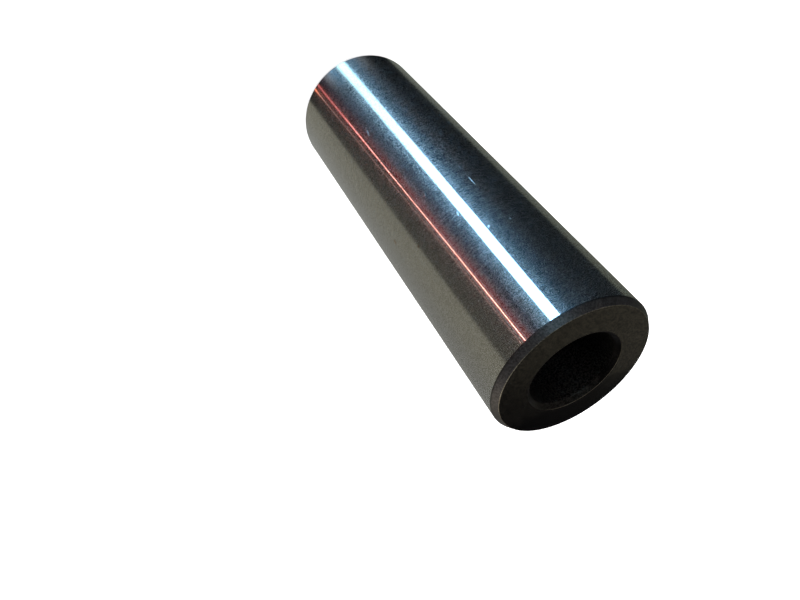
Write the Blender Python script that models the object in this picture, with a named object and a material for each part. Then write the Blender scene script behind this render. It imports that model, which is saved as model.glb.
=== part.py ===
"""Gudgeon pin: the hollow steel pin that joins a piston to its connecting rod.

One solid, turned from bar. The outside is a ground cylinder with a long, shallow lead-in
chamfer at each end. A straight bore runs from one flat end face to the other, and its mouths
are countersunk. The pin stands on one end, centred on the origin, with its axis along +Z.
"""

import math

import bmesh
import bpy
from mathutils import Vector

# Driving dimensions, in metres.
OUTER_DIAMETER = 0.0220
PIN_LENGTH = 0.0685
BORE_DIAMETER = 0.0118

LEAD_IN_DEPTH = 0.0006  # how far the outer chamfer cuts in from the ground surface
LEAD_IN_LENGTH = 0.0009  # how far it runs along the pin
COUNTERSINK_DEPTH = 0.0006  # how far the countersink at each mouth cuts out from the bore
COUNTERSINK_LENGTH = 0.0006  # how far it runs into the bore

GROUND_BLEND_RADIUS = 0.0004  # where the ground surface rolls over into the lead-in
FACE_BREAK_RADIUS = 0.00012  # the deburred rim between the lead-in and the end face
MOUTH_BREAK_RADIUS = 0.00010  # the deburred rim between the end face and the countersink
BORE_BLEND_RADIUS = 0.0002  # the soft edge where the countersink meets the bore

# Fineness of the round surfaces.
STEPS_AROUND = 96
ARC_STEP = math.radians(12)
SEAM_DISTANCE = 0.000001

STEEL_COLOUR = (0.33, 0.34, 0.36, 1.0)
STEEL_ROUGHNESS = 0.16


def clear_scene():
    """Remove whatever the file opened with."""
    for obj in list(bpy.data.objects):
        bpy.data.objects.remove(obj, do_unlink=True)


def hardened_steel():
    """Case-hardened alloy steel, ground and lapped bright."""
    material = bpy.data.materials.new("hardened_steel")
    material.use_nodes = True
    shader = material.node_tree.nodes["Principled BSDF"]
    shader.inputs["Base Color"].default_value = STEEL_COLOUR
    shader.inputs["Metallic"].default_value = 1.0
    shader.inputs["Roughness"].default_value = STEEL_ROUGHNESS
    return material


def rounded_corner(before, corner, after, radius):
    """The points of the arc that rounds a corner of the section, tangent to both of its sides."""
    back = (before - corner).normalized()
    on = (after - corner).normalized()
    half_angle = back.angle(on) / 2
    setback = radius / math.tan(half_angle)
    centre = corner + (back + on).normalized() * (radius / math.sin(half_angle))
    first = (corner + back * setback - centre).normalized()
    last = (corner + on * setback - centre).normalized()
    pieces = max(2, math.ceil(first.angle(last) / ARC_STEP))
    return [centre + first.slerp(last, i / pieces) * radius for i in range(pieces + 1)]


def section_corners():
    """The corners of the wall's section, as (distance from the axis, height) and a radius.

    They run down the outside and back up the bore.
    """
    outer = OUTER_DIAMETER / 2
    bore = BORE_DIAMETER / 2
    face_rim = outer - LEAD_IN_DEPTH
    mouth_rim = bore + COUNTERSINK_DEPTH
    return [
        (Vector((face_rim, PIN_LENGTH)), FACE_BREAK_RADIUS),
        (Vector((outer, PIN_LENGTH - LEAD_IN_LENGTH)), GROUND_BLEND_RADIUS),
        (Vector((outer, LEAD_IN_LENGTH)), GROUND_BLEND_RADIUS),
        (Vector((face_rim, 0.0)), FACE_BREAK_RADIUS),
        (Vector((mouth_rim, 0.0)), MOUTH_BREAK_RADIUS),
        (Vector((bore, COUNTERSINK_LENGTH)), BORE_BLEND_RADIUS),
        (Vector((bore, PIN_LENGTH - COUNTERSINK_LENGTH)), BORE_BLEND_RADIUS),
        (Vector((mouth_rim, PIN_LENGTH)), MOUTH_BREAK_RADIUS),
    ]


def section_outline():
    """The wall's closed section, with every corner rounded."""
    corners = section_corners()
    outline = []
    for i, (corner, radius) in enumerate(corners):
        before = corners[i - 1][0]
        after = corners[(i + 1) % len(corners)][0]
        outline.extend(rounded_corner(before, corner, after, radius))
    return outline


def section_mesh(name):
    """The section as a closed loop of edges in the XZ plane, on the +X side of the axis."""
    section = bmesh.new()
    loop = [section.verts.new((point.x, 0.0, point.y)) for point in section_outline()]
    for i, vertex in enumerate(loop):
        section.edges.new((vertex, loop[(i + 1) % len(loop)]))
    mesh = bpy.data.meshes.new(name)
    section.to_mesh(mesh)
    section.free()
    return mesh


def turn_on_lathe(obj):
    """Sweep the section once round the Z axis and close the seam."""
    screw = obj.modifiers.new("turned", "SCREW")
    screw.axis = "Z"
    screw.angle = math.tau
    screw.steps = STEPS_AROUND
    screw.render_steps = STEPS_AROUND
    screw.use_merge_vertices = True
    screw.merge_threshold = SEAM_DISTANCE
    screw.use_smooth_shade = True


def keep_faces_flat(obj):
    """Shade the flat faces and the long cylinders truly, up to the small rounded rims."""
    normals = obj.modifiers.new("true_normals", "WEIGHTED_NORMAL")
    normals.mode = "FACE_AREA"


def gudgeon_pin():
    """The whole pin, standing on its lower end face."""
    pin = bpy.data.objects.new("gudgeon_pin", section_mesh("gudgeon_pin"))
    bpy.context.scene.collection.objects.link(pin)
    pin.data.materials.append(hardened_steel())
    turn_on_lathe(pin)
    keep_faces_flat(pin)
    return pin


clear_scene()
gudgeon_pin()
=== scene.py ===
"""The gudgeon pin's looks: a ground and lapped steel pin with quench-blackened ends.

The pin stands on one end on a pale floor. Lamps and reflector cards lie on the floor round it,
and a few panels stand beside it. Only its polish sees them, as when a product photographer flags
a mirror finish.
"""

import math

import bmesh
import bpy
from mathutils import Matrix, Vector


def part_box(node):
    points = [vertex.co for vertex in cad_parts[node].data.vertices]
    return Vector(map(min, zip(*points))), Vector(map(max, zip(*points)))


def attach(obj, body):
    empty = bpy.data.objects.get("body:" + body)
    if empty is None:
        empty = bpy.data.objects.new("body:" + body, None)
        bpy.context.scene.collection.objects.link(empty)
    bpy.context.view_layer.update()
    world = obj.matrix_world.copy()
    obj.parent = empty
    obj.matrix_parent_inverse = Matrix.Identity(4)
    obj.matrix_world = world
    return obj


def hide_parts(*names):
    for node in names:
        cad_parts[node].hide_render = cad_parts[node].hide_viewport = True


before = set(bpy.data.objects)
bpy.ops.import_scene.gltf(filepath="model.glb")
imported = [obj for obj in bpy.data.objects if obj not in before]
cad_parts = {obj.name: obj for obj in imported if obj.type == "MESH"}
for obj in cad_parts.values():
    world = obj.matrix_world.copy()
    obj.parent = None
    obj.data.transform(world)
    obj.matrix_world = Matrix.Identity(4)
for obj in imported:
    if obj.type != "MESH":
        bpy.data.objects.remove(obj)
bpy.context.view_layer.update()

MM = 0.001

# The pin's section. Its outside comes from the frame, and the other sizes are the source's.
PIN_NODE = "gudgeon_pin"
PIN_LOW, PIN_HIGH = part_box(PIN_NODE)
OUTER_RADIUS = (PIN_HIGH.x - PIN_LOW.x) / 2
PIN_LENGTH = PIN_HIGH.z - PIN_LOW.z
BORE_RADIUS = 5.9 * MM
LEAD_IN_DEPTH = 0.6 * MM
LEAD_IN_LENGTH = 0.9 * MM
COUNTERSINK_DEPTH = 0.6 * MM
COUNTERSINK_LENGTH = 0.6 * MM

GROUND_BLEND_RADIUS = 0.4 * MM
FACE_BREAK_RADIUS = 0.12 * MM
MOUTH_BREAK_RADIUS = 0.10 * MM
BORE_BLEND_RADIUS = 0.2 * MM

STEPS_AROUND = 384
ARC_STEP = math.radians(5)

# The ground surface. Its real grain, grinding lines and tarnish specks are a few microns wide, too
# fine to show. They are drawn as coarse as they need to be. The grain is finer near the end that
# faces the camera, which is seen from closer by.
COARSE_GRAIN = 0.10 * MM
FINE_GRAIN = 0.035 * MM
COARSE_GRAIN_TOP = 36 * MM
FINE_GRAIN_BOTTOM = 60 * MM
LINE_LENGTH = 1.3 * MM
LINE_WIDTH = 0.16 * MM
LINE_DEPTH = 0.01 * MM
LINE_STRENGTH = 0.025
MOTTLE_SIZE = 0.8 * MM
SMEAR_SIZE = 7 * MM
TARNISH_SIZE = 0.13 * MM
TARNISH_STARTS = 0.35
TARNISH_FULL = 0.65
MARK_DEPTH = 0.03 * MM

# What the patterns add to the haze, and the sums between which the surface turns hazy.
LINES_HAZE = 0.22
MOTTLE_HAZE = 0.10
SMEARS_HAZE = 0.10
FOOT_HAZE = 0.09
HAZE_STARTS = 0.785
HAZE_FULL = 0.815

# Between these heights the patches calm down by this share.
CALM_BOTTOM = 44 * MM
CALM_TOP = 60 * MM
CALM_SHARE = 0.6

LAPPED_ROUGHNESS = 0.05
HAZY_ROUGHNESS = 0.37
TORN_ROUGHNESS = 0.55

# Marks on the ground surface, each from one place to another. A place is a distance round the pin
# from its front and a height, in mm. Then comes the mark's width in mm and its strength.
MARKS = (
    ((-5.70, 36.2), (-5.69, 36.4), 0.26, 0.7),
    ((-5.86, 38.3), (-5.88, 38.9), 0.18, 0.6),
    ((-5.84, 41.4), (-5.81, 43.0), 0.24, 1.0),
    ((-5.68, 43.6), (-5.75, 46.6), 0.10, 0.28),
    ((-5.42, 48.7), (-5.36, 51.3), 0.10, 0.28),
    ((-5.20, 53.1), (-5.22, 55.6), 0.10, 0.27),
    ((-5.22, 56.6), (-5.12, 59.0), 0.10, 0.27),
    ((-5.68, 53.6), (-5.61, 57.2), 0.10, 0.26),
    ((-6.19, 51.3), (-6.17, 51.5), 0.32, 1.0),
    ((-3.40, 51.1), (-3.20, 51.3), 0.26, 0.8),
    ((-1.26, 46.4), (-1.15, 46.8), 0.30, 0.8),
    ((0.38, 40.0), (0.50, 40.2), 0.36, 0.9),
    ((1.06, 20.7), (1.38, 22.0), 0.26, 1.0),
)

# Specks of old oil, given in the same way.
STAINS = (
    ((8.60, 39.8), (8.68, 40.3), 0.6, 0.8),
    ((5.56, 45.2), (5.64, 45.5), 0.5, 0.7),
)

# The dark skin of the ends. Its specks of scale are really finer, and are drawn as coarse as they
# need to be to show. Its blotches shift the border between its tone and its side tone, which is
# mostly painted shade or a painted highlight, by up to their reach, in outer radii.
SPECK_SIZE = 0.22 * MM
SPECK_DARK = 0.37
SPECK_BRIGHT = 0.63
BLOTCH_SIZE = 2 * MM
BLOTCH_REACH = 0.5
SKIN_DEPTH = 0.02 * MM
SKIN_STRENGTH = 0.3

# The camera, in the pin's frame. It looks down on the upper end and is rolled nearly over.
CAMERA_DISTANCE = 72.60 * MM
CAMERA_HEIGHT = 105.44 * MM
CAMERA_TURN = math.radians(-10.19)
CAMERA_DIP = math.radians(40.643)
CAMERA_ROLL = math.radians(147.2)
CAMERA_LENS = 29.668
SENSOR_WIDTH = 36.0
NEAREST_SEEN = 5 * MM
FARTHEST_SEEN = 50.0

# The room. A level of 1 is white. The sky's height is the upward part of the direction looked in.
FLOOR_SIZE = 12.0
FLOOR_ROUGHNESS = 0.9
FLOOR_LEVEL_IN_VIEW = 0.80
FLOOR_LEVEL_MIRRORED = 0.45
SKY_LEVEL_LOW = 0.12
SKY_LEVEL_HIGH = 0.45
SKY_HIGH_FROM = 0.14
SOFTBOX_WIDTH = 0.8
SOFTBOX_POWER = 9.0
SOFTBOX_PLACE = (0.1, 0.0, 1.0)

# How far the floor and each layer on it lie below the pin's foot.
FLOOR_DROP = 0.05 * MM
BACK_DROP = 0.045 * MM
CARD_DROP = 0.03 * MM
BLUE_GLOW_DROP = 0.025 * MM
FLANK_GLOW_DROP = 0.0225 * MM
RED_GLOW_DROP = 0.02 * MM
BORDER_DROP = 0.015 * MM
HALO_DROP = 0.0125 * MM
LAMP_DROP = 0.01 * MM

# The cards start under the pin and reach far out. They have rows at these heights, in mm, and a
# strip for each step of the angle, in degrees.
CARD_START = 9 * MM
CARD_REACH = 5700 * MM
CARD_ROWS = (0.0, 2.0, 4.0, 7.0, 11.0, 16.0, 22.0, 31.0, 40.0, 49.0, 58.0, 68.5)
CARD_STEP = 1.0
FEWEST_STRIPS = 8

# The edges of cards and lamps, each a run of (height, angle) pairs. They say where on the pin the
# camera sees the edge: the height in mm, and the angle in degrees round the pin from its front.
OLIVE_EDGE = ((0, -84),)
NAVY_EDGE = ((0, -58.5),)
SLATE_EDGE = ((0, -8),)
UMBER_EDGE = ((0, 14), (68, 11))
TABLE_EDGE = ((0, 32.6), (31, 31.9), (68, 30.4))
SHADE_EDGE = ((0, 66),)
BACK_EDGE = ((0, 82),)
REAR_STRIP_EDGE = ((0, 89),)
FOOT_GLOW_LEFT = ((0, -9),)
FOOT_GLOW_RIGHT = ((0, 9.5),)
SIDE_GLOW_LEFT = ((0, -42),)
SIDE_GLOW_RIGHT = ((0, -16),)
RED_GLOW_LEFT = ((0, 1),)
RED_GLOW_RIGHT = ((0, 13.5), (31, 12.2), (68, 9.9))
UPPER_GLOW_LEFT = ((0, -9),)
UPPER_GLOW_RIGHT = ((0, 4),)
DAYLIGHT_LEFT = (
    (0, -18.8),
    (5, -18.5),
    (15, -18.0),
    (22, -17.3),
    (31, -16.8),
    (40, -16.0),
    (49, -15.45),
    (64, -14.15),
)
DAYLIGHT_RIGHT = (
    (0, -6.4),
    (5, -7.05),
    (15, -7.7),
    (22, -7.7),
    (31, -7.8),
    (40, -7.8),
    (49, -7.75),
    (64, -7.25),
)
RED_LEFT = (
    (0, 12.9),
    (5, 12.8),
    (15, 12.2),
    (22, 12.0),
    (31, 11.9),
    (40, 11.45),
    (49, 10.8),
    (56, 10.5),
    (64, 10.05),
)
RED_RIGHT = (
    (0, 16.0),
    (5, 15.7),
    (15, 14.7),
    (22, 13.9),
    (31, 13.0),
    (40, 12.05),
    (49, 11.3),
    (56, 11.0),
    (64, 10.55),
)
FAINT_RED_LEFT = (
    (0, 17.8),
    (5, 18.1),
    (15, 17.3),
    (22, 16.5),
    (31, 15.6),
    (40, 14.7),
    (49, 13.7),
    (64, 12.8),
)
FAINT_RED_RIGHT = (
    (0, 20.6),
    (5, 20.0),
    (15, 18.5),
    (22, 17.5),
    (31, 16.5),
    (40, 15.5),
    (49, 14.5),
    (64, 13.6),
)

# How sharply a lamp's fringe gives way to its own colour, as a power of its light.
FRINGE_POWER = 2.0

# How far the red strip's halo and its dark border reach out on either side, in degrees.
HALO_REACH_LEFT = 2.0
HALO_REACH_RIGHT = 1.8
BORDER_REACH_LEFT = 1.5
BORDER_REACH_RIGHT = 1.2

# The upright panels. Each stands over a line on the floor, from one place to another, and reaches
# from one height to another, all in mm.
WARM_PANEL = ((500, -150), (500, 600), 0, 420)
BLUE_PANEL = ((-105, -224), (-65, -224), 190, 330)
BACK_FLAG = ((-100, 60), (105, 60), 77, 220)

# The back flag's tones meet on a slant. These are its run for each unit of rise, and where it
# starts and ends at the height of the floor.
FLAG_SLANT = 1.2
FLAG_TURN_STARTS = -124 * MM
FLAG_TURN_ENDS = -112 * MM


def linear(hex_colour):
    """A linear colour with alpha from an sRGB hex value."""
    channels = []
    for i in (0, 2, 4):
        value = int(hex_colour[i:i + 2], 16) / 255
        channels.append(value / 12.92 if value <= 0.04045 else ((value + 0.055) / 1.055) ** 2.4)
    return (*channels, 1.0)


def add(tree, kind, inputs, **settings):
    """Add a node with its settings, and give each named input a value or a link."""
    node = tree.nodes.new(kind)
    for name, value in settings.items():
        setattr(node, name, value)
    for name, value in inputs.items():
        if isinstance(value, bpy.types.NodeSocket):
            tree.links.new(value, node.inputs[name])
        else:
            node.inputs[name].default_value = value
    return node


def new_material(name):
    """An empty node material, as (material, tree)."""
    material = bpy.data.materials.new(name)
    material.use_nodes = True
    material.node_tree.nodes.clear()
    return material, material.node_tree


def new_object(name, data):
    """A new object in the scene, at the origin."""
    placed = bpy.data.objects.new(name, data)
    bpy.context.scene.collection.objects.link(placed)
    return placed


# The ground steel


def ground_steel():
    """Case-hardened steel, centreless ground and lapped.

    It mirrors its surroundings under a thin, patchy haze and a breath of tarnish, with a few nicks
    and scratches from handling and specks of old oil.
    """
    material, tree = new_material("ground_steel")
    place = add(tree, "ShaderNodeTexCoord", {}).outputs["Object"]
    unrolled = unrolled_place(tree, place)
    lines = grinding_lines(tree, place)
    marks = all_marks(tree, unrolled, MARKS)
    stains = all_marks(tree, unrolled, STAINS)
    shader = add(
        tree,
        "ShaderNodeBsdfPrincipled",
        {
            "Base Color": tarnished_colour(tree, place, stains),
            "Metallic": 1.0,
            "Roughness": ground_roughness(tree, haze(tree, place, lines), marks),
            "Normal": ground_relief(tree, lines, marks),
        },
    )
    add(tree, "ShaderNodeOutputMaterial", {"Surface": shader.outputs["BSDF"]})
    return material


def unrolled_place(tree, place):
    """The place on the side unrolled flat: X is the way round from the front, and Y the height."""
    axes = add(tree, "ShaderNodeSeparateXYZ", {"Vector": place}).outputs
    forward = add(tree, "ShaderNodeMath", {0: axes["Y"], 1: -1.0}, operation="MULTIPLY")
    angle = add(tree, "ShaderNodeMath", {0: axes["X"], 1: forward.outputs[0]}, operation="ARCTAN2")
    around = add(tree, "ShaderNodeMath", {0: angle.outputs[0], 1: OUTER_RADIUS}, operation="MULTIPLY")
    unrolled = add(tree, "ShaderNodeCombineXYZ", {"X": around.outputs[0], "Y": axes["Z"]})
    return unrolled.outputs["Vector"]


def grinding_lines(tree, place):
    """The lines that the grinding wheel leaves round the pin."""
    stretch = (1 / LINE_LENGTH, 1 / LINE_LENGTH, 1 / LINE_WIDTH)
    along = add(tree, "ShaderNodeVectorMath", {0: place, 1: stretch}, operation="MULTIPLY")
    noise = {"Vector": along.outputs[0], "Scale": 1.0, "Detail": 3.0}
    return add(tree, "ShaderNodeTexNoise", noise).outputs["Fac"]


def haze(tree, place, lines):
    """How hazy the polish is, from 0 to 1.

    The haze comes from grain finer than the eye can part. It lies thicker along the grinding
    lines, in mottle and smears, and towards the foot.
    """
    height = add(tree, "ShaderNodeSeparateXYZ", {"Vector": place}).outputs["Z"]
    patches = haze_patches(tree, place, height, lines)
    fineness = add(
        tree,
        "ShaderNodeMapRange",
        {
            "Value": height,
            "From Min": COARSE_GRAIN_TOP,
            "From Max": FINE_GRAIN_BOTTOM,
            "To Min": 1 / COARSE_GRAIN,
            "To Max": 1 / FINE_GRAIN,
        },
    )
    noise = {"Vector": place, "Scale": fineness.outputs["Result"], "Detail": 1.0}
    grain = add(tree, "ShaderNodeTexNoise", noise).outputs["Fac"]
    foot = {"Value": height, "From Max": PIN_LENGTH, "To Min": FOOT_HAZE, "To Max": 0.0}
    cover = add(tree, "ShaderNodeMapRange", foot).outputs["Result"]
    for pattern in (patches, grain):
        cover = add(tree, "ShaderNodeMath", {0: pattern, 1: cover}, operation="ADD").outputs[0]
    share = add(
        tree,
        "ShaderNodeMapRange",
        {"Value": cover, "From Min": HAZE_STARTS, "From Max": HAZE_FULL},
        interpolation_type="SMOOTHSTEP",
    )
    return share.outputs["Result"]


def haze_patches(tree, place, height, lines):
    """What the lines, the mottle and the smears add to the haze, evened out towards the top."""
    patches = 0.0
    patterns = [(lines, LINES_HAZE)]
    for size, weight in ((MOTTLE_SIZE, MOTTLE_HAZE), (SMEAR_SIZE, SMEARS_HAZE)):
        noise = add(tree, "ShaderNodeTexNoise", {"Vector": place, "Scale": 1 / size, "Detail": 3.0})
        patterns.append((noise.outputs["Fac"], weight))
    for pattern, weight in patterns:
        layer = {0: pattern, 1: weight, 2: patches}
        patches = add(tree, "ShaderNodeMath", layer, operation="MULTIPLY_ADD").outputs[0]
    calm = add(
        tree,
        "ShaderNodeMapRange",
        {
            "Value": height,
            "From Min": CALM_BOTTOM,
            "From Max": CALM_TOP,
            "To Min": 0.0,
            "To Max": CALM_SHARE,
        },
    )
    mean = (LINES_HAZE + MOTTLE_HAZE + SMEARS_HAZE) / 2
    evened = {"Factor": calm.outputs["Result"], "A": patches, "B": mean}
    return add(tree, "ShaderNodeMix", evened).outputs["Result"]


def ground_roughness(tree, share, marks):
    """The roughness of the lapped surface, its haze and its torn marks."""
    lapped = add(
        tree,
        "ShaderNodeMapRange",
        {"Value": share, "To Min": LAPPED_ROUGHNESS, "To Max": HAZY_ROUGHNESS},
    )
    torn = add(tree, "ShaderNodeMath", {0: marks, 1: TORN_ROUGHNESS}, operation="MULTIPLY")
    rougher = {0: lapped.outputs["Result"], 1: torn.outputs[0]}
    return add(tree, "ShaderNodeMath", rougher, operation="MAXIMUM").outputs[0]


def ground_relief(tree, lines, marks):
    """The faint relief of the grinding lines, with the marks' grooves cut in."""
    relief = add(
        tree,
        "ShaderNodeBump",
        {"Height": lines, "Strength": LINE_STRENGTH, "Distance": LINE_DEPTH},
    )
    grooves = add(
        tree,
        "ShaderNodeBump",
        {
            "Height": marks,
            "Strength": 1.0,
            "Distance": MARK_DEPTH,
            "Normal": relief.outputs["Normal"],
        },
    )
    return grooves.outputs["Normal"]


def tarnished_colour(tree, place, stains):
    """Bright steel with a speckled breath of tarnish and brown oil stains."""
    noise = {"Vector": place, "Scale": 1 / TARNISH_SIZE, "Detail": 1.0}
    speckle = add(tree, "ShaderNodeTexNoise", noise)
    tarnish = add(
        tree,
        "ShaderNodeMapRange",
        {"Value": speckle.outputs["Fac"], "From Min": TARNISH_STARTS, "From Max": TARNISH_FULL},
    )
    steel = add(
        tree,
        "ShaderNodeMix",
        {"Factor": tarnish.outputs["Result"], "A": linear("D0D2D4"), "B": linear("979794")},
        data_type="RGBA",
    )
    stained = add(
        tree,
        "ShaderNodeMix",
        {"Factor": stains, "A": steel.outputs["Result"], "B": linear("8A6A4E")},
        data_type="RGBA",
    )
    return stained.outputs["Result"]


def all_marks(tree, unrolled, places):
    """The strongest of the marks in a list, over the unrolled surface."""
    marks = 0.0
    for start, end, width, strength in places:
        mark = one_mark(tree, unrolled, start, end, width, strength)
        marks = add(tree, "ShaderNodeMath", {0: marks, 1: mark}, operation="MAXIMUM").outputs[0]
    return marks


def one_mark(tree, unrolled, start, end, width, strength):
    """A mark over the unrolled surface, full on the line from start to end and fading beside it."""
    origin = Vector((*start, 0.0)) * MM
    run = Vector((*end, 0.0)) * MM - origin
    from_origin = {0: unrolled, 1: origin}
    offset = add(tree, "ShaderNodeVectorMath", from_origin, operation="SUBTRACT").outputs[0]
    on_run = {0: offset, 1: run / run.length_squared}
    along = add(tree, "ShaderNodeVectorMath", on_run, operation="DOT_PRODUCT")
    share = add(tree, "ShaderNodeClamp", {"Value": along.outputs["Value"]}).outputs["Result"]
    nearest = add(tree, "ShaderNodeVectorMath", {0: run, "Scale": share}, operation="SCALE")
    both = {0: offset, 1: nearest.outputs[0]}
    gap = add(tree, "ShaderNodeVectorMath", both, operation="DISTANCE")
    mark = add(
        tree,
        "ShaderNodeMapRange",
        {
            "Value": gap.outputs["Value"],
            "From Max": width * MM / 2,
            "To Min": strength,
            "To Max": 0.0,
        },
        interpolation_type="SMOOTHSTEP",
    )
    return mark.outputs["Result"]


# The quenched ends, with painted shade and painted highlights


def quench_black_with_painted_light(name, tone, side_tone, side, turn, roughness=0.4, grit=0.8):
    """Turned steel with the dark skin that quenching leaves where the grinding wheel didn't reach.

    It looks matt and nearly black. Specks of scale give it a fine grit, and grit is how strongly
    they stand out. Towards one side it turns to a side tone, as side_share says. That tone is
    painted shade on the end face, countersink, bore rim and bore, and the rims' lighter tones are
    a painted highlight. On the lead-in it is darker in blotches.
    """
    material, tree = new_material(name)
    place = add(tree, "ShaderNodeTexCoord", {}).outputs["Object"]
    noise = {"Vector": place, "Scale": 1 / SPECK_SIZE, "Detail": 2.0}
    specks = add(tree, "ShaderNodeTexNoise", noise).outputs["Fac"]
    share = side_share(tree, place, side, turn)
    # The skin's tone turned towards its side tone: painted shade or a painted highlight on most ends.
    skin = add(
        tree,
        "ShaderNodeMix",
        {"Factor": share, "A": linear(tone), "B": linear(side_tone)},
        data_type="RGBA",
    )
    speckled = add(
        tree,
        "ShaderNodeMapRange",
        {
            "Value": specks,
            "From Min": SPECK_DARK,
            "From Max": SPECK_BRIGHT,
            "To Min": 1.0 - grit,
            "To Max": 1.0 + grit,
        },
    )
    gritty = {0: skin.outputs["Result"], "Scale": speckled.outputs["Result"]}
    colour = add(tree, "ShaderNodeVectorMath", gritty, operation="SCALE")
    relief = add(
        tree,
        "ShaderNodeBump",
        {"Height": specks, "Strength": SKIN_STRENGTH, "Distance": SKIN_DEPTH},
    )
    shader = add(
        tree,
        "ShaderNodeBsdfPrincipled",
        {
            "Base Color": colour.outputs["Vector"],
            "Metallic": 1.0,
            "Roughness": roughness,
            "Normal": relief.outputs["Normal"],
        },
    )
    add(tree, "ShaderNodeOutputMaterial", {"Surface": shader.outputs["BSDF"]})
    return material


def side_share(tree, place, side, turn):
    """How far the surface has turned to its side tone, from 0 to 1, with a blotchy border.

    On most ends the side tone is painted shade or a painted highlight, for light that falls on
    one side. side is the angle in degrees from +X at which the side tone lies. turn says how far
    towards it the change starts and ends, in outer radii, and blotches count towards that
    distance.
    """
    side = math.radians(side)
    towards = Vector((math.cos(side), math.sin(side), 0.0)) / OUTER_RADIUS
    reach = add(tree, "ShaderNodeVectorMath", {0: place, 1: towards}, operation="DOT_PRODUCT")
    noise = {"Vector": place, "Scale": 1 / BLOTCH_SIZE, "Detail": 4.0}
    blotches = add(tree, "ShaderNodeTexNoise", noise)
    ragged = {0: blotches.outputs["Fac"], 1: BLOTCH_REACH, 2: reach.outputs["Value"]}
    border = add(tree, "ShaderNodeMath", ragged, operation="MULTIPLY_ADD")
    share = add(
        tree,
        "ShaderNodeMapRange",
        {"Value": border.outputs[0], "From Min": turn[0], "From Max": turn[1]},
        interpolation_type="SMOOTHSTEP",
    )
    return share.outputs["Result"]


# The pin


def rounded_corner(before, corner, after, radius):
    """The arc that rounds a corner of the section, as (point, outward normal) pairs."""
    back = (before - corner).normalized()
    on = (after - corner).normalized()
    half_angle = back.angle(on) / 2
    setback = radius / math.tan(half_angle)
    centre = corner + (back + on).normalized() * (radius / math.sin(half_angle))
    first = (corner + back * setback - centre).normalized()
    last = (corner + on * setback - centre).normalized()
    pieces = max(3, math.ceil(first.angle(last) / ARC_STEP))
    normals = [first.slerp(last, i / pieces) for i in range(pieces + 1)]
    return [(centre + normal * radius, normal) for normal in normals]


def section():
    """The wall's closed section, as (point, normal, finish of the stretch after it)."""
    face_rim = OUTER_RADIUS - LEAD_IN_DEPTH
    mouth_rim = BORE_RADIUS + COUNTERSINK_DEPTH
    ground_top = PIN_LENGTH - LEAD_IN_LENGTH
    bore_top = PIN_LENGTH - COUNTERSINK_LENGTH
    corners = (
        ((face_rim, PIN_LENGTH), FACE_BREAK_RADIUS, "rim", "lead_in"),
        ((OUTER_RADIUS, ground_top), GROUND_BLEND_RADIUS, "lead_in", "ground"),
        ((OUTER_RADIUS, LEAD_IN_LENGTH), GROUND_BLEND_RADIUS, "lead_in", "lead_in"),
        ((face_rim, 0.0), FACE_BREAK_RADIUS, "rim", "end_face"),
        ((mouth_rim, 0.0), MOUTH_BREAK_RADIUS, "mouth_rim", "countersink"),
        ((BORE_RADIUS, COUNTERSINK_LENGTH), BORE_BLEND_RADIUS, "bore_rim", "bore"),
        ((BORE_RADIUS, bore_top), BORE_BLEND_RADIUS, "bore_rim", "countersink"),
        ((mouth_rim, PIN_LENGTH), MOUTH_BREAK_RADIUS, "mouth_rim", "end_face"),
    )
    points = []
    for i, (corner, radius, arc_finish, side_finish) in enumerate(corners):
        before = Vector(corners[i - 1][0])
        after = Vector(corners[(i + 1) % len(corners)][0])
        arc = rounded_corner(before, Vector(corner), after, radius)
        for point, normal in arc[:-1]:
            points.append((point, normal, arc_finish))
        points.append((*arc[-1], side_finish))
    return points


def turned_pin(finishes):
    """The pin as a fine turned mesh, with a material for each finish."""
    points = section()
    slots = list(finishes)
    vertices = []
    normals = []
    for step in range(STEPS_AROUND):
        angle = math.tau * step / STEPS_AROUND
        cosine = math.cos(angle)
        sine = math.sin(angle)
        for point, normal, finish in points:
            vertices.append((point.x * cosine, point.x * sine, point.y))
            normals.append((normal.x * cosine, normal.x * sine, normal.y))
    faces = []
    face_slots = []
    count = len(points)
    for step in range(STEPS_AROUND):
        here = step * count
        there = (step + 1) % STEPS_AROUND * count
        for i in range(count):
            j = (i + 1) % count
            faces.append((here + i, here + j, there + j, there + i))
            face_slots.append(slots.index(points[i][2]))
    mesh = bpy.data.meshes.new("turned_pin")
    mesh.from_pydata(vertices, [], faces)
    for name in slots:
        mesh.materials.append(finishes[name])
    mesh.polygons.foreach_set("material_index", face_slots)
    mesh.shade_smooth()
    mesh.normals_split_custom_set_from_vertices(normals)
    return new_object("turned_pin", mesh)


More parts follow.
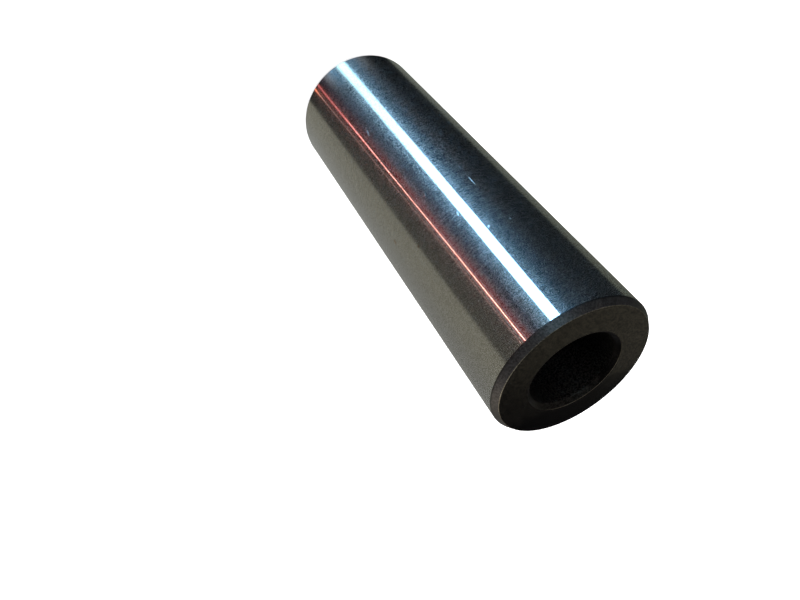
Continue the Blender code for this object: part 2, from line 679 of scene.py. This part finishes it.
def pin_finishes():
    """A finish for each stretch of the section.

    The rims between the turned faces are lighter with a painted highlight. The end face,
    countersink, bore rim and bore have painted shade on one side.
    """
    return {
        "ground": ground_steel(),
        "lead_in": quench_black_with_painted_light("quenched_lead_in", "3C3A3A", "2F2F30", -140, (1.10, 1.22), grit=0.35),
        # The rim's lighter tones, lightest on one side, are a painted highlight where light catches
        # the edge.
        "rim": quench_black_with_painted_light("rim_painted_highlight", "5A574E", "857F72", -20, (0.75, 1.10), grit=0.4),
        # The end face's near-black side tone is painted shade.
        "end_face": quench_black_with_painted_light("quenched_end_face_painted_shade", "3F3C37", "0D0C0C", 66, (0.60, 0.84), 0.25),
        # The mouth rim's lighter side tone is a painted highlight.
        "mouth_rim": quench_black_with_painted_light("mouth_rim_painted_highlight", "2A2825", "5E594F", 110, (0.22, 0.50), grit=0.3),
        # The countersink, bore rim and bore are darker on one side with painted shade.
        "countersink": quench_black_with_painted_light("quenched_countersink_painted_shade", "1D1B19", "0C0B0B", 165, (0.35, 0.6)),
        "bore_rim": quench_black_with_painted_light("bore_rim_painted_shade", "262421", "0C0B0B", 165, (0.35, 0.6)),
        "bore": quench_black_with_painted_light("quenched_bore_painted_shade", "3A3836", "282726", 165, (0.3, 0.7), 0.5),
    }


def gudgeon_pin():
    """The dressed pin, which stands for the plain solid."""
    pin = turned_pin(pin_finishes())
    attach(pin, "root")
    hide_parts(PIN_NODE)


# The room


def camera():
    """The camera at the photograph's place and angle."""
    data = bpy.data.cameras.new("camera")
    data.lens = CAMERA_LENS
    data.sensor_width = SENSOR_WIDTH
    data.clip_start = NEAREST_SEEN
    data.clip_end = FARTHEST_SEEN
    seat = new_object("camera", data)
    aim = Matrix.Rotation(CAMERA_TURN, 4, "Z") @ Matrix.Rotation(math.pi / 2 - CAMERA_DIP, 4, "X")
    place = Matrix.Translation((0.0, -CAMERA_DISTANCE, CAMERA_HEIGHT))
    seat.matrix_world = place @ aim @ Matrix.Rotation(CAMERA_ROLL, 4, "Z")
    bpy.context.scene.camera = seat


def board(name, corners, material):
    """A flat four-cornered board, with its first corner at the foot of its left edge."""
    mesh = bpy.data.meshes.new(name)
    mesh.from_pydata(corners, [], [(0, 1, 2, 3)])
    uv = mesh.uv_layers.new(name="UVMap")
    uv.uv.foreach_set("vector", (0.0, 0.0, 1.0, 0.0, 1.0, 1.0, 0.0, 1.0))
    mesh.materials.append(material)
    return new_object(name, mesh)


def flat_square(half, drop):
    """The corners of a square that lies flat round the pin's axis."""
    return [(-half, -half, -drop), (half, -half, -drop), (half, half, -drop), (-half, half, -drop)]


def pale_floor():
    """A matt white floor, which the camera sees as white except where the pin shades it."""
    material, tree = new_material("matt_white_floor")
    path = add(tree, "ShaderNodeLightPath", {}).outputs
    dimmed = {0: path["Is Glossy Ray"], 1: FLOOR_LEVEL_MIRRORED}
    mirrored = add(tree, "ShaderNodeMath", dimmed, operation="MULTIPLY").outputs[0]
    both = {0: path["Is Camera Ray"], 1: FLOOR_LEVEL_IN_VIEW, 2: mirrored}
    lift = add(tree, "ShaderNodeMath", both, operation="MULTIPLY_ADD").outputs[0]
    shader = add(
        tree,
        "ShaderNodeBsdfPrincipled",
        {
            "Base Color": linear("E8E8E8"),
            "Roughness": FLOOR_ROUGHNESS,
            "Specular IOR Level": 0.0,
            "Emission Color": linear("FFFFFF"),
            "Emission Strength": lift,
        },
    )
    add(tree, "ShaderNodeOutputMaterial", {"Surface": shader.outputs["BSDF"]})
    material.cycles.emission_sampling = "NONE"
    board("floor", flat_square(FLOOR_SIZE / 2, FLOOR_DROP), material)


def sky():
    """A plain white room, darker near the horizon, and brighter to the camera than to the pin."""
    world = bpy.data.worlds.new("plain_room")
    world.use_nodes = True
    tree = world.node_tree
    tree.nodes.clear()
    direction = add(tree, "ShaderNodeTexCoord", {}).outputs["Generated"]
    level = add(
        tree,
        "ShaderNodeMapRange",
        {
            "Value": add(tree, "ShaderNodeSeparateXYZ", {"Vector": direction}).outputs["Z"],
            "From Max": SKY_HIGH_FROM,
            "To Min": SKY_LEVEL_LOW,
            "To Max": SKY_LEVEL_HIGH,
        },
        interpolation_type="SMOOTHSTEP",
    )
    in_view = add(tree, "ShaderNodeLightPath", {}).outputs["Is Camera Ray"]
    brighter = {0: level.outputs["Result"], 1: in_view}
    strength = add(tree, "ShaderNodeMath", brighter, operation="MAXIMUM").outputs[0]
    white = {"Color": linear("FFFFFF"), "Strength": strength}
    background = add(tree, "ShaderNodeBackground", white)
    add(tree, "ShaderNodeOutputWorld", {"Surface": background.outputs["Background"]})
    bpy.context.scene.world = world


def softbox():
    """One large soft lamp overhead, which polish doesn't mirror."""
    lamp = bpy.data.lights.new("softbox", "AREA")
    lamp.shape = "DISK"
    lamp.size = SOFTBOX_WIDTH
    lamp.energy = SOFTBOX_POWER
    seat = new_object("softbox", lamp)
    seat.location = SOFTBOX_PLACE
    seat.visible_glossy = False


# What the polish mirrors


def floor_place(angle, height):
    """Where the camera's ray that meets the pin at this angle and height goes on to meet the floor.

    The angle is in degrees round the pin from the line that faces the camera, positive towards +X.
    The height is in mm.
    """
    angle = math.radians(angle)
    normal = Vector((math.sin(angle), -math.cos(angle)))
    point = normal * OUTER_RADIUS
    ray = point - Vector((0.0, -CAMERA_DISTANCE))
    away = ray - 2 * ray.dot(normal) * normal
    return point + away * (height * MM / (CAMERA_HEIGHT - height * MM))


def angle_at(edge, height):
    """An edge's angle at a height, from its run of (height, angle) pairs."""
    low = edge[0]
    for high in edge[1:]:
        if height <= high[0]:
            share = max(0.0, (height - low[0]) / (high[0] - low[0]))
            return low[1] + (high[1] - low[1]) * share
        low = high
    return low[1]


def moved(edge, angle):
    """The same edge, moved round the pin by an angle."""
    return [(height, place + angle) for height, place in edge]


def card(name, left, right, drop, material):
    """A reflector card or lamp that lies on the floor between two edges.

    It reaches on outwards past the place that the pin's upper end shows.
    """
    widest = max(abs(angle_at(right, height) - angle_at(left, height)) for height in CARD_ROWS)
    strips = max(FEWEST_STRIPS, math.ceil(widest / CARD_STEP))
    lengthwise = (0.0, *(height * MM / PIN_LENGTH for height in CARD_ROWS), 1.0)
    card_mesh = bmesh.new()
    uv = card_mesh.loops.layers.uv.new("UVMap")
    ribs = []
    for i in range(strips + 1):
        places = []
        for height in CARD_ROWS:
            low = angle_at(left, height)
            places.append(floor_place(low + (angle_at(right, height) - low) * i / strips, height))
        start = places[0].normalized() * CARD_START
        outwards = (places[-1] - places[-2]).normalized()
        end = places[-1] + outwards * CARD_REACH
        ribs.append([card_mesh.verts.new((x, y, -drop)) for x, y in (start, *places, end)])
    for i in range(strips):
        for j in range(len(lengthwise) - 1):
            corners = ((i, j), (i, j + 1), (i + 1, j + 1), (i + 1, j))
            face = card_mesh.faces.new([ribs[rib][row] for rib, row in corners])
            for loop, (rib, row) in zip(face.loops, corners):
                loop[uv].uv = (rib / strips, lengthwise[row])
    mesh = bpy.data.meshes.new(name)
    card_mesh.to_mesh(mesh)
    card_mesh.free()
    mesh.materials.append(material)
    only_mirrored(new_object(name, mesh))


def upright(start, end, low, high):
    """The corners of an upright panel over the line from start to end on the floor, in mm."""
    corners = ((*start, low), (*end, low), (*end, high), (*start, high))
    return [Vector(corner) * MM for corner in corners]


def only_mirrored(reflector):
    """Let only mirror reflections see a card, panel or lamp."""
    reflector.visible_camera = False
    reflector.visible_diffuse = False
    reflector.visible_transmission = False
    reflector.visible_volume_scatter = False
    reflector.visible_shadow = False


def lit_evenly(material, colour, strength=1.0):
    """Let an empty material give off a colour, for mirror reflections alone."""
    tree = material.node_tree
    glow = add(tree, "ShaderNodeEmission", {"Color": colour, "Strength": strength})
    add(tree, "ShaderNodeOutputMaterial", {"Surface": glow.outputs["Emission"]})
    material.cycles.emission_sampling = "NONE"
    return material


def card_finish(name, foot, top, turn):
    """A painted card's tones, at the left and right edges of its foot and of its top.

    The left tone changes to the right one over the part of the width that turn gives.
    """
    material, tree = new_material(name)
    uv = add(tree, "ShaderNodeTexCoord", {}).outputs["UV"]
    across, up, _ = add(tree, "ShaderNodeSeparateXYZ", {"Vector": uv}).outputs
    share = add(
        tree,
        "ShaderNodeMapRange",
        {"Value": across, "From Min": turn[0], "From Max": turn[1]},
        interpolation_type="SMOOTHSTEP",
    )
    edges = []
    for low, high in zip(foot, top):
        tones = {"Factor": up, "A": linear(low), "B": linear(high)}
        edges.append(add(tree, "ShaderNodeMix", tones, data_type="RGBA").outputs["Result"])
    blend = {"Factor": share.outputs["Result"], "A": edges[0], "B": edges[1]}
    colour = add(tree, "ShaderNodeMix", blend, data_type="RGBA")
    return lit_evenly(material, colour.outputs["Result"])


def lamp_finish(name, foot, top, rise=(0.0, 1.0), fringe="FFFFFF"):
    """A soft-edged lamp's light, which the card behind shows through.

    foot and top are its light at both ends: colour, strength, and how much of its width its left
    edge and its right edge take to fade. It changes from one to the other over the part of its
    length that rise gives. Its edges take on the fringe colour.
    """
    material, tree = new_material(name)
    uv = add(tree, "ShaderNodeTexCoord", {}).outputs["UV"]
    across, up, _ = add(tree, "ShaderNodeSeparateXYZ", {"Vector": uv}).outputs
    risen = add(
        tree,
        "ShaderNodeMapRange",
        {"Value": up, "From Min": rise[0], "From Max": rise[1]},
        interpolation_type="SMOOTHSTEP",
    ).outputs["Result"]
    levels = []
    for low, high in zip(foot[1:], top[1:]):
        level = add(tree, "ShaderNodeMapRange", {"Value": risen, "To Min": low, "To Max": high})
        levels.append(level.outputs["Result"])
    strength, left_fade, right_fade = levels
    from_right = add(tree, "ShaderNodeMath", {0: 1.0, 1: across}, operation="SUBTRACT").outputs[0]
    cover = 1.0
    for distance, fade in ((across, left_fade), (from_right, right_fade)):
        edge = add(
            tree,
            "ShaderNodeMapRange",
            {"Value": distance, "From Max": fade},
            interpolation_type="SMOOTHSTEP",
        )
        both = {0: cover, 1: edge.outputs["Result"]}
        cover = add(tree, "ShaderNodeMath", both, operation="MULTIPLY").outputs[0]
    core = {"Factor": risen, "A": linear(foot[0]), "B": linear(top[0])}
    core_colour = add(tree, "ShaderNodeMix", core, data_type="RGBA").outputs["Result"]
    depth = add(tree, "ShaderNodeMath", {0: cover, 1: FRINGE_POWER}, operation="POWER")
    fringed = {"Factor": depth.outputs[0], "A": linear(fringe), "B": core_colour}
    colour = add(tree, "ShaderNodeMix", fringed, data_type="RGBA").outputs["Result"]
    power = add(tree, "ShaderNodeMath", {0: strength, 1: cover}, operation="MULTIPLY").outputs[0]
    glow = add(tree, "ShaderNodeEmission", {"Color": colour, "Strength": power})
    clear = add(tree, "ShaderNodeBsdfTransparent", {})
    sheer = {0: glow.outputs["Emission"], 1: clear.outputs["BSDF"]}
    light = add(tree, "ShaderNodeAddShader", sheer)
    add(tree, "ShaderNodeOutputMaterial", {"Surface": light.outputs["Shader"]})
    material.cycles.emission_sampling = "FRONT_BACK"
    return material


def back_flag_finish():
    """The tones of the flag behind the pin: grey, with a dark lower right corner."""
    material, tree = new_material("back_flag")
    place = add(tree, "ShaderNodeTexCoord", {}).outputs["Object"]
    slant = {0: place, 1: (1.0, 0.0, -FLAG_SLANT)}
    across = add(tree, "ShaderNodeVectorMath", slant, operation="DOT_PRODUCT").outputs["Value"]
    share = add(
        tree,
        "ShaderNodeMapRange",
        {"Value": across, "From Min": FLAG_TURN_STARTS, "From Max": FLAG_TURN_ENDS},
        interpolation_type="SMOOTHSTEP",
    )
    tones = {"Factor": share.outputs["Result"], "A": linear("8A877B"), "B": linear("29282B")}
    colour = add(tree, "ShaderNodeMix", tones, data_type="RGBA")
    return lit_evenly(material, colour.outputs["Result"])


def plain_finish(name, hex_colour, strength=1.0):
    """An even light of one colour."""
    return lit_evenly(new_material(name)[0], linear(hex_colour), strength)


def reflector_cards():
    """The cards on the floor round the pin, named for what its mirror surface shows of them."""
    umber = card_finish("umber_to_table", ("3B3936", "9E9B8C"), ("5B5951", "989484"), (0.79, 1.0))
    table = card_finish("table_grey", ("9E9B8C", "A4A5A0"), ("989484", "8D8C86"), (0.0, 1.0))
    shade = card_finish("table_shade", ("A4A5A0", "35332E"), ("8D8C86", "302E2A"), (0.35, 1.0))
    slate = card_finish("slate", ("586878", "3F3741"), ("292D33", "261418"), (0.30, 0.80))
    navy = card_finish("navy_black", ("181B1E", "1B1F24"), ("272C2F", "22282D"), (0.0, 1.0))
    olive = card_finish("olive_grey", ("81857A", "181B1E"), ("62655A", "272C2F"), (0.84, 1.0))
    card("umber_flag", UMBER_EDGE, TABLE_EDGE, CARD_DROP, umber)
    card("table_card", TABLE_EDGE, SHADE_EDGE, CARD_DROP, table)
    card("table_shade", SHADE_EDGE, BACK_EDGE, CARD_DROP, shade)
    card("slate_flag", SLATE_EDGE, UMBER_EDGE, CARD_DROP, slate)
    card("navy_flag", NAVY_EDGE, SLATE_EDGE, CARD_DROP, navy)
    card("olive_card", OLIVE_EDGE, NAVY_EDGE, CARD_DROP, olive)
    back = plain_finish("back_grey", "4A4C4E")
    only_mirrored(board("back_card", flat_square(CARD_REACH, BACK_DROP), back))


def soft_glows():
    """Faint wide lights on the floor, which tint the cards beside the strip lamps."""
    foot = lamp_finish(
        "foot_glow",
        foot=("88D0FF", 0.80, 0.1, 0.75),
        top=("88D0FF", 0.0, 0.1, 0.75),
        rise=(0.0, 0.14),
    )
    card("foot_glow", FOOT_GLOW_LEFT, FOOT_GLOW_RIGHT, BLUE_GLOW_DROP, foot)
    side = lamp_finish(
        "side_glow",
        foot=("A6DAFF", 0.36, 0.75, 0.05),
        top=("A6D2FF", 0.03, 0.75, 0.05),
        rise=(0.0, 0.16),
    )
    card("side_glow", SIDE_GLOW_LEFT, SIDE_GLOW_RIGHT, BLUE_GLOW_DROP, side)
    flank = lamp_finish(
        "flank_glow",
        foot=("A6D2FF", 0.06, 0.75, 0.05),
        top=("A6D2FF", 0.0, 0.75, 0.05),
        rise=(0.5, 0.9),
    )
    card("flank_glow", SIDE_GLOW_LEFT, SIDE_GLOW_RIGHT, FLANK_GLOW_DROP, flank)
    red = lamp_finish(
        "red_glow",
        foot=("FF3A34", 0.0, 0.9, 0.1),
        top=("FF302A", 0.26, 0.9, 0.1),
        rise=(0.15, 0.55),
    )
    card("red_glow", RED_GLOW_LEFT, RED_GLOW_RIGHT, RED_GLOW_DROP, red)
    upper = lamp_finish(
        "upper_glow",
        foot=("ACEBFF", 0.0, 0.05, 0.9),
        top=("ACEBFF", 0.30, 0.05, 0.9),
        rise=(0.68, 1.0),
    )
    card("upper_glow", UPPER_GLOW_LEFT, UPPER_GLOW_RIGHT, BLUE_GLOW_DROP, upper)


def daylight_strip():
    """The cool strip lamp, which the pin shows as its broadest bright line."""
    daylight = lamp_finish(
        "daylight_tube",
        foot=("96CFFF", 7.2, 0.36, 0.56),
        top=("96CFFF", 12.0, 0.08, 0.12),
        rise=(0.0, 0.9),
        fringe="BCEEF6",
    )
    card("daylight_strip", DAYLIGHT_LEFT, DAYLIGHT_RIGHT, LAMP_DROP, daylight)


def red_strips():
    """The thin red strip lamp in its halo, and a fainter one beside it on a dark border."""
    red = lamp_finish(
        "red_tube",
        foot=("FF9496", 1.35, 0.5, 0.5),
        top=("FFFBE4", 12.6, 0.5, 0.5),
        rise=(0.0, 0.9),
        fringe="FF5A44",
    )
    card("red_strip", RED_LEFT, RED_RIGHT, LAMP_DROP, red)
    halo = lamp_finish(
        "red_halo",
        foot=("FF1C10", 0.05, 0.4, 0.4),
        top=("FF1C10", 0.85, 0.4, 0.4),
        rise=(0.40, 0.75),
    )
    halo_left = moved(RED_LEFT, -HALO_REACH_LEFT)
    halo_right = moved(RED_RIGHT, HALO_REACH_RIGHT)
    card("red_halo", halo_left, halo_right, HALO_DROP, halo)
    dark = card_finish("dark_border", ("2C2424", "2C2424"), ("2E1E1E", "3A2A28"), (0.0, 1.0))
    border_left = moved(RED_LEFT, -BORDER_REACH_LEFT)
    border_right = moved(RED_RIGHT, BORDER_REACH_RIGHT)
    card("red_border", border_left, border_right, BORDER_DROP, dark)
    faint = lamp_finish(
        "faint_red_tube",
        foot=("FF9460", 3.6, 0.5, 0.5),
        top=("FFDCD2", 0.8, 0.5, 0.5),
        rise=(0.0, 0.10),
        fringe="FF5A40",
    )
    card("faint_red_strip", FAINT_RED_LEFT, FAINT_RED_RIGHT, LAMP_DROP, faint)


def rear_strip():
    """A soft cool lamp for the side that the photograph doesn't show."""
    rear = lamp_finish(
        "rear_tube",
        foot=("DCEEFF", 1.2, 0.4, 0.4),
        top=("DCEEFF", 2.0, 0.4, 0.4),
    )
    card("rear_strip", BACK_EDGE, REAR_STRIP_EDGE, LAMP_DROP, rear)


def upright_panels():
    """Upright panels, which the pin's upper end mirrors."""
    warm = lamp_finish(
        "warm_panel",
        foot=("FFF4DE", 0.2, 0.3, 0.3),
        top=("FFF4DE", 1.6, 0.3, 0.3),
        rise=(0.0, 0.4),
    )
    only_mirrored(board("warm_side_panel", upright(*WARM_PANEL), warm))
    blue = plain_finish("blue_panel", "B4E8FF", 10.0)
    only_mirrored(board("blue_panel", upright(*BLUE_PANEL), blue))
    only_mirrored(board("back_flag", upright(*BACK_FLAG), back_flag_finish()))


gudgeon_pin()
camera()
pale_floor()
sky()
softbox()
reflector_cards()
soft_glows()
daylight_strip()
red_strips()
rear_strip()
upright_panels()
bpy.context.scene.view_settings.view_transform = "Standard"
